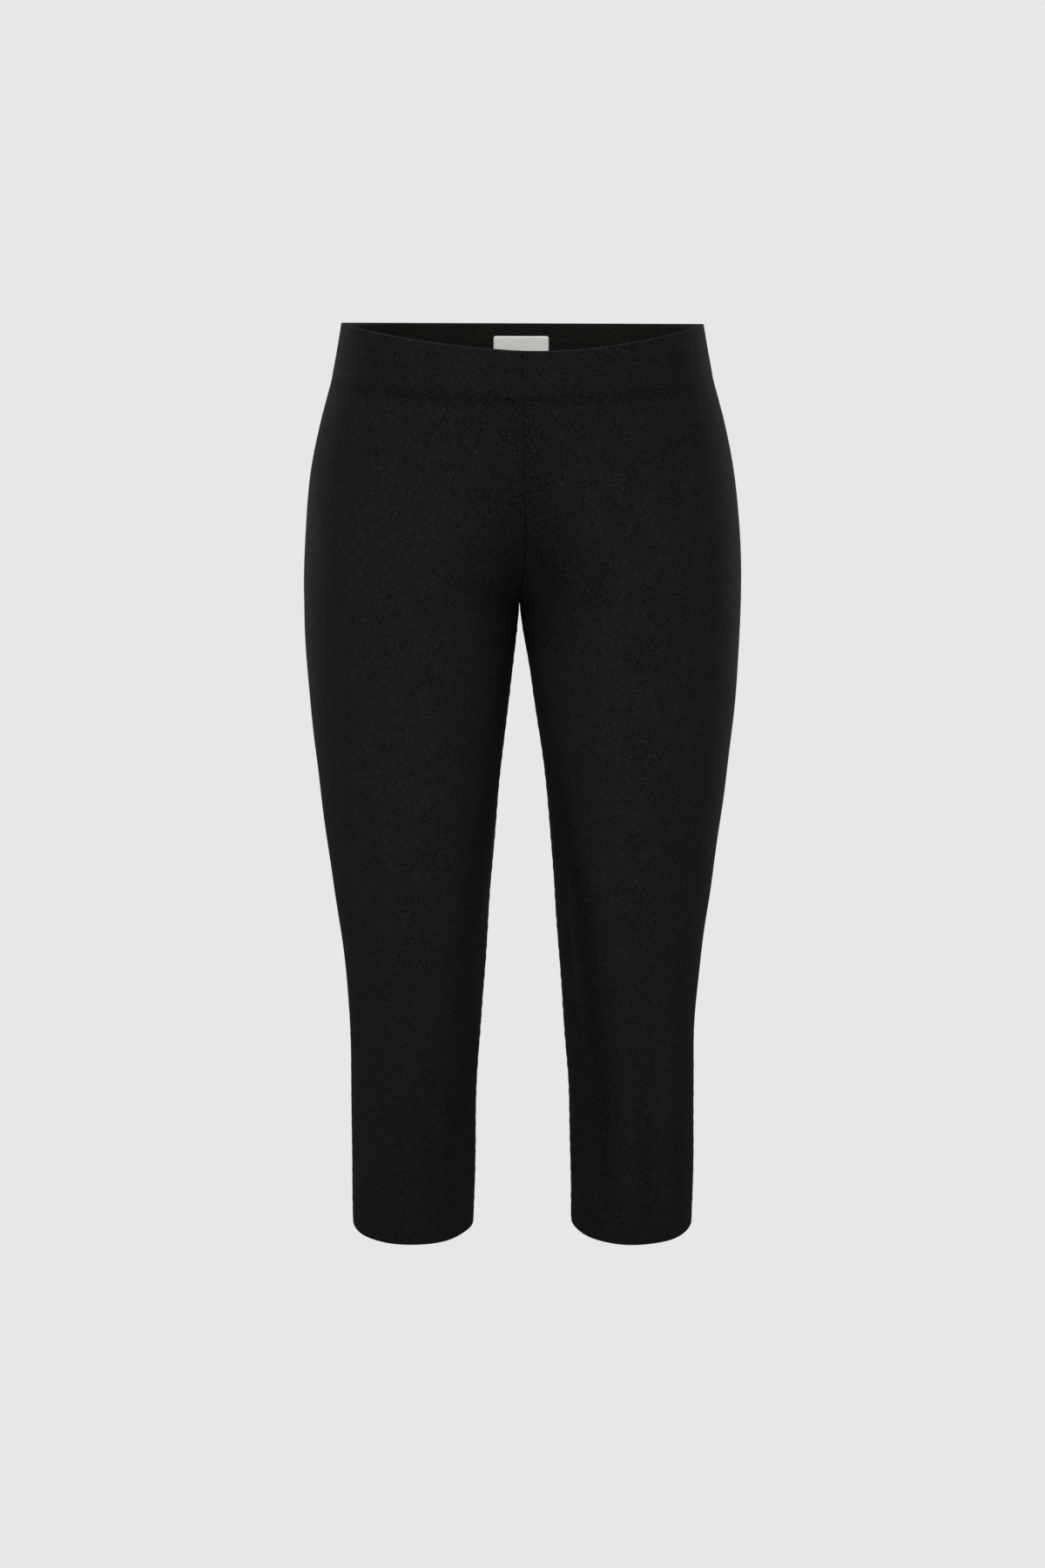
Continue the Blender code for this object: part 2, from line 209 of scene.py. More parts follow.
@dataclass(frozen=True)
class WornForm:
    """The cloth's outer face in its worn shape, drawn from the table of level sections.

    The waist edge dips in front by waist_dip and stands a little askew, by the edge and sag
    sizes; both fade out down to dip_fade.  The dent is what the elastic's foot presses in.
    """

    crotch: float = 0.218
    hem: float = 0.7455
    crown_parting: float = 0.070
    waist_dip: float = 0.0195
    dip_fade: float = 0.200
    dip_fall: float = 1.5
    edge_lift: float = 0.0007
    edge_tilt: float = 0.0005
    edge_fade: float = 9.0
    sag_lift: float = 0.00025
    sag: float = 0.00125
    sag_turn: float = 0.20
    sag_shift: float = 0.12
    front_rise_turn: float = 0.105
    back_rise_turn: float = 0.118
    arc_steps: int = 120
    least_reach: float = 0.001
    elastic_dent: float = 0.0013
    dent_half_width: float = 0.0050
    dent_drop: float = 0.0435
    dent_side_loss: float = 0.9
    lip_shift: float = 1.9
    lip_spread: float = 1.1
    step: float = 0.0008
    share_step: float = 0.0064
    fold_steps: int = 28

    def section_at(self, drops: np.ndarray) -> Section:
        """Sections at any heights: a smooth curve through the rows of the table.

        Args:
            drops: heights below the waist edge.

        Returns:
            A section whose fields are arrays.
        """
        table = np.array(SECTIONS)
        last = len(table) - 1
        drops = np.clip(drops, 0.0, self.hem)
        index = np.clip(np.searchsorted(table[:, 0], drops) - 1, 0, last - 1)
        before = table[np.maximum(np.arange(last + 1) - 1, 0)]
        after = table[np.minimum(np.arange(last + 1) + 1, last)]
        slopes = (after - before) / (after[:, :1] - before[:, :1])
        upper, lower = table[index], table[index + 1]
        span = lower[:, :1] - upper[:, :1]
        t = (drops[:, None] - upper[:, :1]) / span
        values = (
            (2 * t**3 - 3 * t**2 + 1) * upper
            + (t**3 - 2 * t**2 + t) * slopes[index] * span
            + (3 * t**2 - 2 * t**3) * lower
            + (t**3 - t**2) * slopes[index + 1] * span
        )
        section = Section(*values.T)
        inner = np.where(drops > self.crotch, np.maximum(section.inner, 0.0), 0.0)
        return section._replace(inner=inner)

    def crown_at(self, section: Section) -> np.ndarray:
        """Where a quarter section stands out furthest: mid-body, then mid-leg."""
        parted = eased((section.drop - self.crown_parting) / (self.crotch - self.crown_parting))
        return parted * (section.outer + section.inner) / 2.0

    def section_lines(self, drops: np.ndarray, is_front: bool) -> tuple[np.ndarray, np.ndarray]:
        """Quarter sections from the inner seam round to the side seam.

        Args:
            drops: heights, one for each line.
            is_front: whether they are front quarters.

        Returns:
            Arrays of x and of depth, a row for each height.
        """
        section = self.section_at(drops)
        depth = (section.front if is_front else section.back)[:, None]
        power = section.power[:, None]
        crown = self.crown_at(section)[:, None]
        inner, outer = section.inner[:, None], section.outer[:, None]
        turn = self.front_rise_turn if is_front else self.back_rise_turn
        height = np.clip(self.crotch - drops, 0.0, turn)[:, None]
        out = np.sqrt(1.0 - (1.0 - height / turn) ** 2)
        reach = np.maximum((1.0 - out**power) ** (1.0 / power), self.least_reach)
        start = np.arcsin(reach ** (power / 2.0))
        steps = np.arange(self.arc_steps + 1)[None, :] / self.arc_steps
        angle = start * (1.0 - steps[:, :-1])
        x_inner = crown - (crown - inner) * np.sin(angle) ** (2.0 / power) / reach
        depth_inner = depth * np.cos(angle) ** (2.0 / power)
        angle = math.pi / 2.0 * steps
        x_outer = crown + (outer - crown) * np.sin(angle) ** (2.0 / power)
        depth_outer = depth * np.maximum(np.cos(angle), 0.0) ** (2.0 / power)
        return (
            np.concatenate([x_inner, x_outer], axis=1),
            np.concatenate([depth_inner, depth_outer], axis=1),
        )

    def along(
        self, drops: np.ndarray, shares: np.ndarray, is_front: bool
    ) -> tuple[np.ndarray, np.ndarray, np.ndarray]:
        """Places on the quarter sections, at shares of their length.

        Args:
            drops: heights of the points.
            shares: 0 at the inner seam to 1 at the side seam, same shape as drops.
            is_front: whether they are on the front quarters.

        Returns:
            x, depth and the girth of each point's quarter section.
        """
        shape = drops.shape
        levels, which = np.unique(np.round(drops.ravel(), 7), return_inverse=True)
        line_x, line_depth = self.section_lines(levels, is_front)
        stretch = np.hypot(np.diff(line_x, axis=1), np.diff(line_depth, axis=1))
        run = np.concatenate([np.zeros((len(levels), 1)), np.cumsum(stretch, axis=1)], axis=1)
        flat = shares.ravel()
        x, depth = np.empty_like(flat), np.empty_like(flat)
        order = np.argsort(which, kind="stable")
        cuts = np.cumsum(np.bincount(which))[:-1]
        for level, members in enumerate(np.split(order, cuts)):
            at = flat[members] * run[level, -1]
            x[members] = np.interp(at, run[level], line_x[level])
            depth[members] = np.interp(at, run[level], line_depth[level])
        return x.reshape(shape), depth.reshape(shape), run[which, -1].reshape(shape)

    def girth(self, drops: np.ndarray, is_front: bool) -> np.ndarray:
        """Length of the quarter sections at these heights."""
        return self.along(drops, np.zeros_like(drops), is_front)[2]

    def surface(self, drops: np.ndarray, shares: np.ndarray, panel: Panel) -> np.ndarray:
        """World points of the cloth's outer face before any fold.

        Args:
            drops: heights below the waist edge.
            shares: 0 at the inner seam to 1 at the side seam.
            panel: the panel they are on.

        Returns:
            Points, with the three coordinates on the last axis.
        """
        x, depth, _ = self.along(drops, shares, panel.is_front)
        section = self.section_at(drops.ravel())
        across = x / section.outer.reshape(drops.shape)
        above = 1.0 - np.clip(drops / self.dip_fade, 0.0, 1.0)
        height = self.edge_rise(across, panel) * above**self.edge_fade - drops
        if panel.is_front:
            height -= self.waist_dip * (1.0 - across**2) * above**self.dip_fall
        lean = section.lean.reshape(drops.shape) * (1.0 - across) ** 2
        return np.stack([panel.side * x + lean, panel.facing * depth, height], axis=-1)

    def edge_rise(self, across: np.ndarray, panel: Panel) -> np.ndarray:
        """How far the waist edge, worn a little askew, stands above an even one.

        Args:
            across: 0 at the middle of the garment to 1 at its side.
            panel: the panel they are on.

        Returns:
            Heights, in metres.
        """
        place = panel.side * across
        rise = self.edge_lift - self.edge_tilt * place
        if panel.is_front:
            sag = self.sag * np.tanh((place + self.sag_shift) / self.sag_turn)
            rise += (self.sag_lift + self.edge_tilt * place - sag) * (1.0 - place**4)
        return rise

    def outward(self, drops: np.ndarray, shares: np.ndarray, panel: Panel) -> np.ndarray:
        """Unit normals of the outer face, away from the wearer.

        Args:
            drops: heights below the waist edge.
            shares: 0 at the inner seam to 1 at the side seam.
            panel: the panel they are on.

        Returns:
            Directions, with the three coordinates on the last axis.
        """
        down = self.surface(np.minimum(drops + self.step, self.hem), shares, panel)
        up = self.surface(np.maximum(drops - self.step, 0.0), shares, panel)
        right = self.surface(drops, np.minimum(shares + self.share_step, 1.0), panel)
        left = self.surface(drops, np.maximum(shares - self.share_step, 0.0), panel)
        normal = np.cross(down - up, right - left) * -panel.side * panel.facing
        return normal / np.linalg.norm(normal, axis=-1, keepdims=True)

    def fold_path(self, fold: Fold) -> np.ndarray:
        """Places along a fold, bowed through its middle.

        Args:
            fold: the row of the table.

        Returns:
            Rows of drop and distance across the panel, in metres.
        """
        t = np.linspace(0.0, 1.0, self.fold_steps)
        start, middle, end = (np.array(place) for place in (fold.start, fold.middle, fold.end))
        bow = 2.0 * middle - (start + end) / 2.0
        path = np.outer((1 - t) ** 2, start) + np.outer(2 * t * (1 - t), bow) + np.outer(t**2, end)
        path[:, 1] *= self.girth(path[:, 0], fold.panel.is_front)
        return path

    def beside(
        self, path: np.ndarray, drops: np.ndarray, across: np.ndarray
    ) -> tuple[np.ndarray, np.ndarray]:
        """Where points lie beside a path.

        Args:
            path: its places, as rows of drop and distance across.
            drops: heights of the points.
            across: their distances across the panel.

        Returns:
            Signed distances to the path, and the nearest places, from 0 to 1 along it.
        """
        nearest = np.full(drops.shape, np.inf)
        signed, place = np.zeros(drops.shape), np.zeros(drops.shape)
        last = len(path) - 1
        for part in range(last):
            run_down, run_across = path[part + 1] - path[part]
            from_down, from_across = drops - path[part, 0], across - path[part, 1]
            at = from_down * run_down + from_across * run_across
            at = np.clip(at / (run_down**2 + run_across**2), 0.0, 1.0)
            off_down, off_across = from_down - at * run_down, from_across - at * run_across
            distance = np.hypot(off_down, off_across)
            closer = distance < nearest
            turn = np.sign(off_across * run_down - off_down * run_across)
            nearest = np.where(closer, distance, nearest)
            signed = np.where(closer, distance * turn, signed)
            place = np.where(closer, (part + at) / last, place)
        return signed, place

    def fold_depth(self, drops: np.ndarray, shares: np.ndarray, panel: Panel) -> np.ndarray:
        """How far the folds and the elastic's foot pull the cloth in.

        Args:
            drops: heights below the waist edge.
            shares: 0 at the inner seam to 1 at the side seam.
            panel: the panel they are on.

        Returns:
            Depths inwards, in metres.
        """
        across = shares * self.girth(drops, panel.is_front)
        away = (drops - self.dent_drop) / self.dent_half_width
        depth = self.elastic_dent * np.exp(-(away**2)) * (1.0 - self.dent_side_loss * shares**3)
        for fold in FOLDS:
            if fold.panel is not panel:
                continue
            signed, place = self.beside(self.fold_path(fold), drops, across)
            wide = signed / fold.half_width
            lip = fold.lip * np.exp(-(((wide - self.lip_shift) / self.lip_spread) ** 2))
            depth += fold.depth * np.sin(math.pi * place) * (np.exp(-(wide**2)) - lip)
        return depth


# ---------------------------------------------------------------- shader benches

class Shade:
    """A shader socket that takes part in Python arithmetic."""

    def __init__(self, bench: Bench, socket: bpy.types.NodeSocket) -> None:
        """Wrap a socket of a node that stands on a bench."""
        self.bench = bench
        self.socket = socket

    def maths(self, operation: str, *operands: Any) -> Shade:
        """Add a Math node.

        Args:
            operation: the Math node's operation.
            operands: its inputs, in order.

        Returns:
            The result.
        """
        links = dict(enumerate(operands))
        return self.bench.add("ShaderNodeMath", {"operation": operation}, links)

    def __add__(self, other: Any) -> Shade:
        """self + other."""
        return self.maths("ADD", self, other)

    __radd__ = __add__

    def __sub__(self, other: Any) -> Shade:
        """self - other."""
        return self.maths("SUBTRACT", self, other)

    def __rsub__(self, other: Any) -> Shade:
        """other - self."""
        return self.maths("SUBTRACT", other, self)

    def __mul__(self, other: Any) -> Shade:
        """self * other."""
        return self.maths("MULTIPLY", self, other)

    __rmul__ = __mul__

    def __pow__(self, other: Any) -> Shade:
        """self ** other."""
        return self.maths("POWER", self, other)

    def __rpow__(self, other: Any) -> Shade:
        """other ** self."""
        return self.maths("POWER", other, self)

    def sine(self) -> Shade:
        """Sine of the value in radians."""
        return self.maths("SINE", self)

    def wave(self, pitch: float) -> Shade:
        """0 to 1 and back along the value, once in each pitch."""
        return (self * (2.0 * math.pi / pitch)).sine() * 0.5 + 0.5

    def least(self, other: Any) -> Shade:
        """The smaller of the two."""
        return self.maths("MINIMUM", self, other)

    def size(self) -> Shade:
        """Absolute value."""
        return self.maths("ABSOLUTE", self)

    def fading(self, near: float, far: float) -> Shade:
        """1 up to near, smoothly down to 0 at far."""
        settings = {"interpolation_type": "SMOOTHSTEP"}
        sockets = {"Value": self, "From Min": near, "From Max": far, "To Min": 1.0, "To Max": 0.0}
        return self.bench.add("ShaderNodeMapRange", settings, sockets)


class Bench:
    """The node tree of one material, and what is added to it."""

    def __init__(self, name: str) -> None:
        """Start a material with its principled shader."""
        self.material = bpy.data.materials.new(name)
        self.material.use_nodes = True
        self.tree = self.material.node_tree
        self.shader = self.tree.nodes["Principled BSDF"]

    def put(self, socket: bpy.types.NodeSocket, value: Any) -> None:
        """Give a socket a link or a plain value."""
        if isinstance(value, Shade):
            self.tree.links.new(value.socket, socket)
        elif isinstance(value, tuple) and socket.type == "RGBA":
            socket.default_value = (*value, 1.0)
        else:
            socket.default_value = value

    def add(
        self,
        kind: str,
        settings: dict[str, Any] | None = None,
        sockets: dict[Any, Any] | None = None,
        output: Any = 0,
    ) -> Shade:
        """Add one node.

        Args:
            kind: the node's type.
            settings: its properties, set first.
            sockets: values or links, by the input's identifier, name or number.
            output: the output's name or number.

        Returns:
            The chosen output.
        """
        node = self.tree.nodes.new(kind)
        for name, value in (settings or {}).items():
            setattr(node, name, value)
        for key, value in (sockets or {}).items():
            by_identifier = [s for s in node.inputs if s.identifier == key]
            self.put(by_identifier[0] if by_identifier else node.inputs[key], value)
        return Shade(self, node.outputs[output])

    def dress(self, **sockets: Any) -> bpy.types.Material:
        """Set the principled shader's sockets, words joined by underscores.

        Args:
            sockets: values or links, such as base_color.

        Returns:
            The finished material.
        """
        names = {s.name.lower().replace(" ", "_"): s for s in self.shader.inputs}
        for name, value in sockets.items():
            self.put(names[name], value)
        return self.material

    def blend(self, factor: Shade, first: Colour, second: Colour) -> Shade:
        """Colour between two, by a factor."""
        sockets = {"Factor_Float": factor, "A_Color": first, "B_Color": second}
        return self.add("ShaderNodeMix", {"data_type": "RGBA"}, sockets, output=2)

    def map_axes(self, name: str) -> tuple[Shade, Shade]:
        """The two axes of a piece's UV map, in metres."""
        link = self.add("ShaderNodeUVMap", {"uv_map": name})
        split = self.add("ShaderNodeSeparateXYZ", {}, {"Vector": link})
        return split, Shade(self, split.socket.node.outputs["Y"])

    def attribute(self, name: str) -> Shade:
        """A value that a piece's corners carry."""
        return self.add("ShaderNodeAttribute", {"attribute_name": name}, output="Fac")

    def object_place(self) -> Shade:
        """Object coordinates, in metres."""
        return self.add("ShaderNodeTexCoord", output="Object")

    def noise(self, place: Shade, grain: float, detail: float = 2.0) -> Shade:
        """Soft noise from 0 to 1 whose blotches are about a grain across, in metres."""
        sockets = {"Vector": place, "Scale": 1.0 / grain, "Detail": detail, "Roughness": 0.55}
        return self.add("ShaderNodeTexNoise", {}, sockets, output="Fac")

    def bump(self, height: Shade, deep: float) -> Shade:
        """Normal from a height of 0 to 1 that stands for a depth in metres."""
        sockets = {"Height": height, "Distance": deep, "Strength": 1.0}
        return self.add("ShaderNodeBump", {}, sockets)


# ---------------------------------------------------------------- finishes

@dataclass(frozen=True)
class ClothFinish:
    """Matte black stretch weave: fine yarns and soft flecks, with painted shade in the needle
    dimples by the seams and in the folds' troughs, and painted highlight on the folds' ridges and
    along the crown of the waist fold.
    """

    deep: Colour = (0.0, 0.0, 0.0)
    pale: Colour = (0.0327, 0.0335, 0.0331)
    yarn: float = 0.00052
    stray: float = 0.0004
    grain: float = 0.0008
    fleck: float = 0.0020
    slub: float = 0.0080
    cloud: float = 0.030
    stitch: float = 0.0023
    needle_reach: tuple[float, float] = (0.0003, 0.0011)
    waist_crown: float = 0.0041
    crown_highlight_reach: tuple[float, float] = (0.0004, 0.0013)
    waist_crown_highlight: float = 0.22
    painted_fold_shade: float = 0.095
    base_tone: float = 0.352
    grain_weight: float = 1.05
    fleck_weight: float = 0.06
    cloud_weight: float = 0.05
    slub_weight: float = 0.03
    yarn_weight: float = 0.06
    needle_shade_weight: float = 0.17
    yarn_lift: float = 0.45
    grain_lift: float = 0.55
    mark_lift: float = 1.2
    relief: float = 0.00009
    roughness: float = 0.86
    specular: float = 0.010

    def make(self) -> bpy.types.Material:
        """Build the cloth's material.

        Returns:
            The finished material.
        """
        bench = Bench("stretch_cloth")
        across, down = bench.map_axes("cloth")
        gap, walk = bench.map_axes("seam")
        place = bench.object_place()
        grain = bench.noise(place, self.grain, 1.0)
        fleck = bench.noise(place, self.fleck, 2.0)
        cloud = bench.noise(place, self.cloud, 2.0)
        slub = bench.noise(place, self.slub, 2.0)
        warp = (across + slub * self.stray).wave(self.yarn)
        weft = (down + slub * self.stray).wave(self.yarn)
        yarns = warp * weft + (1.0 - warp) * (1.0 - weft)
        # painted shade: darker dots in the needle dimples along each seam, which also dip in the
        # bump
        marks = walk.wave(self.stitch) ** 3.0 * gap.fading(*self.needle_reach)
        # painted shade in the folds' troughs and painted highlight on their ridges, read from the
        # panels' hollow values
        hollow = bench.attribute("hollow") * self.painted_fold_shade
        # painted highlight along the crown of the waist fold
        crown_highlight = (down - self.waist_crown).size().fading(*self.crown_highlight_reach) * self.waist_crown_highlight
        tone = grain * self.grain_weight + fleck * self.fleck_weight
        tone = tone + cloud * self.cloud_weight + slub * self.slub_weight
        tone = tone + yarns * self.yarn_weight + crown_highlight - marks * self.needle_shade_weight - self.base_tone
        lift = yarns * self.yarn_lift + grain * self.grain_lift - marks * self.mark_lift
        return bench.dress(
            base_color=bench.blend(tone - hollow, self.deep, self.pale),
            roughness=self.roughness - fleck * 0.10,
            specular_ior_level=self.specular,
            normal=bench.bump(lift, self.relief),
        )


@dataclass(frozen=True)
class ElasticFinish:
    """Black herringbone tape: raised slanting ribs that turn at each stripe, painted lighter than
    the near-black grooves between them: painted highlight on the ribs and painted shade in the
    grooves.
    """

    # deep is the grooves' painted shade, pale the ribs' painted highlight
    deep: Colour = (0.0004, 0.0004, 0.0004)
    pale: Colour = (0.0980, 0.0985, 0.0830)
    rib: float = 0.00255
    rib_edge: float = 9.0
    cord: float = 0.0009
    cord_slope: float = 0.7
    stripe: float = 0.016
    blotch: float = 0.004
    stray: float = 0.0003
    base_tone: float = 0.05
    rib_highlight_weight: float = 0.78
    cord_weight: float = 0.16
    stray_weight: float = 0.10
    cord_lift: float = 0.15
    relief: float = 0.0003
    roughness: float = 0.62
    specular: float = 0.03

    def make(self) -> bpy.types.Material:
        """Build the elastic's material.

        Returns:
            The finished material.
        """
        bench = Bench("herringbone_tape")
        around, down = bench.map_axes("weave")
        place = bench.object_place()
        stray = bench.noise(place, self.blotch, 2.0)
        folded = (down - self.stripe).size()
        slant = around + folded + stray * self.stray
        ribs = slant.wave(self.rib) ** self.rib_edge
        cord = (around * self.cord_slope - folded * self.cord_slope).wave(self.cord)
        # painted highlight on the ribs over the tape's real weave, painted shade in the grooves
        # between them
        tone = ribs * (self.rib_highlight_weight + cord * self.cord_weight)
        tone = tone + stray * self.stray_weight - self.base_tone
        return bench.dress(
            base_color=bench.blend(tone, self.deep, self.pale),
            roughness=self.roughness + stray * 0.10,
            specular_ior_level=self.specular,
            normal=bench.bump(ribs + cord * self.cord_lift, self.relief),
        )


@dataclass(frozen=True)
class LabelFinish:
    """Bare off-white satin weave with a denser woven border."""

    shade: Colour = (0.86, 0.86, 0.82)
    light: Colour = (0.97, 0.97, 0.93)
    wide: float = 0.046
    tall: float = 0.020
    border: float = 0.0012
    yarn: float = 0.00038
    blotch: float = 0.0022
    base_tone: float = 0.42
    soft_weight: float = 0.34
    satin_weight: float = 0.12
    border_weight: float = 0.30
    soft_lift: float = 0.3
    satin_lift: float = 0.5
    border_lift: float = 0.8
    relief: float = 0.0001
    roughness: float = 0.52
    specular: float = 0.50
    sheen: float = 0.15

    def make(self) -> bpy.types.Material:
        """Build the label's material.

        Returns:
            The finished material.
        """
        bench = Bench("satin_label")
        across, down = bench.map_axes("label")
        place = bench.object_place()
        soft = bench.noise(place, self.blotch, 3.0)
        edge_x = self.wide / 2.0 - across.size()
        edge_y = self.tall / 2.0 - down.size()
        edge = edge_x.least(edge_y).fading(self.border * 0.8, self.border * 1.3)
        satin = (across + down * 0.35).wave(self.yarn) * down.wave(self.yarn * 1.6)
        tone = self.base_tone + soft * self.soft_weight
        tone = tone + satin * self.satin_weight + edge * self.border_weight
        return bench.dress(
            base_color=bench.blend(tone, self.shade, self.light),
            roughness=self.roughness + soft * 0.12,
            specular_ior_level=self.specular,
            sheen_weight=self.sheen,
            normal=bench.bump(
                satin * self.satin_lift + edge * self.border_lift + soft * self.soft_lift,
                self.relief,
            ),
        )


@dataclass(frozen=True)
class ThreadFinish:
    """Twisted sewing thread."""

    name: str
    dark: Colour
    light: Colour
    twist: float = 0.00035
    lean: float = 1.4
    fuzz: float = 0.0006
    twist_weight: float = 0.6
    fuzz_weight: float = 0.4
    relief: float = 0.00005
    roughness: float = 0.6
    specular: float = 0.2

    def make(self) -> bpy.types.Material:
        """Build the thread's material.

        Returns:
            The finished material.
        """
        bench = Bench(self.name)
        place = bench.object_place()
        split = bench.add("ShaderNodeSeparateXYZ", {}, {"Vector": place})
        upright = Shade(bench, split.socket.node.outputs["Z"])
        twist = (split + upright * self.lean).wave(self.twist)
        fuzz = bench.noise(place, self.fuzz, 2.0)
        tone = twist * self.twist_weight + fuzz * self.fuzz_weight
        return bench.dress(
            base_color=bench.blend(tone, self.dark, self.light),
            roughness=self.roughness,
            specular_ior_level=self.specular,
            normal=bench.bump(twist, self.relief),
        )


@dataclass(frozen=True)
class EvenFinish:
    """One even tone from every side, for the studio."""

    name: str
    tone: float

    def make(self) -> bpy.types.Material:
        """Build the material."""
        bench = Bench(self.name)
        return bench.dress(
            base_color=(0.0, 0.0, 0.0),
            roughness=1.0,
            specular_ior_level=0.0,
            emission_color=(self.tone, self.tone, self.tone),
            emission_strength=1.0,
        )


# ---------------------------------------------------------------- mesh helpers

def new_sheet(columns: int, rows: int, points: np.ndarray) -> bmesh.types.BMesh:
    """Open grid whose corners take their places from an array.

    Args:
        columns: faces across.
        rows: faces down.
        points: places, indexed by row and column.

    Returns:
        The sheet.
    """
    sheet = bmesh.new()
    bmesh.ops.create_grid(sheet, x_segments=columns, y_segments=rows, size=0.5)
    for vert in sheet.verts:
        column = round((vert.co.x + 0.5) * columns)
        row = round((vert.co.y + 0.5) * rows)
        vert.index = row * (columns + 1) + column
        vert.co = points[row, column]
    return sheet


def walked(points: np.ndarray) -> np.ndarray:
    """Length walked from the first point or row to each of the others."""
    steps = np.linalg.norm(np.diff(points, axis=0), axis=-1)
    return np.concatenate([np.zeros_like(steps[:1]), np.cumsum(steps, axis=0)])


def add_map(sheet: bmesh.types.BMesh, name: str, places: np.ndarray) -> None:
    """Give a sheet a UV map, by the number of each corner.

    Args:
        sheet: the sheet.
        name: the map's name.
        places: a pair for each corner, in metres.
    """
    flat = places.reshape(-1, 2)
    layer = sheet.loops.layers.uv.new(name)
    for face in sheet.faces:
        for loop in face.loops:
            loop[layer].uv = flat[loop.vert.index]


def add_value(sheet: bmesh.types.BMesh, name: str, values: np.ndarray) -> None:
    """Give each corner of a sheet a value, by its number."""
    flat = values.reshape(-1)
    layer = sheet.verts.layers.float.new(name)
    for vert in sheet.verts:
        vert[layer] = flat[vert.index]


def new_object(
    name: str, sheet: bmesh.types.BMesh, material: bpy.types.Material
) -> bpy.types.Object:
    """Turn a finished bmesh into an object at the origin.

    Args:
        name: the object's name.
        sheet: its mesh.
        material: its finish.

    Returns:
        The object, in the scene.
    """
    mesh = bpy.data.meshes.new(name)
    sheet.to_mesh(mesh)
    sheet.free()
    mesh.materials.append(material)
    mesh.shade_smooth()
    made = bpy.data.objects.new(name, mesh)
    bpy.context.scene.collection.objects.link(made)
    return made


def new_piece(
    name: str, sheet: bmesh.types.BMesh, material: bpy.types.Material,
    thick: float = 0.0, node: str = "",
) -> bpy.types.Object:
    """Turn a finished bmesh into a piece of the garment.

    Args:
        name: the piece's name.
        sheet: its mesh, an open sheet or closed beads.
        material: its finish.
        thick: the wall behind an open sheet's face, or 0 for none.
        node: the solid that it stands for, if any.

    Returns:
        The piece, fixed to the garment's body.
    """
    piece = new_object(name, sheet, material)
    if thick > 0.0:
        wall = piece.modifiers.new("wall", "SOLIDIFY")
        wall.thickness = thick
        wall.offset = -1.0
    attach(piece, BODY)
    if node:
        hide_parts(node)
    LOG.info("%s: %d faces", piece.name, len(piece.data.polygons))
    return piece


# ---------------------------------------------------------------- leg panels

class Station(NamedTuple):
    """A column of a panel: its distance from the seam and how far it lies inside the cloth."""

    away: float
    inset: float
    lining: float       # further inset of the seam allowance, where one layer of cloth allows it


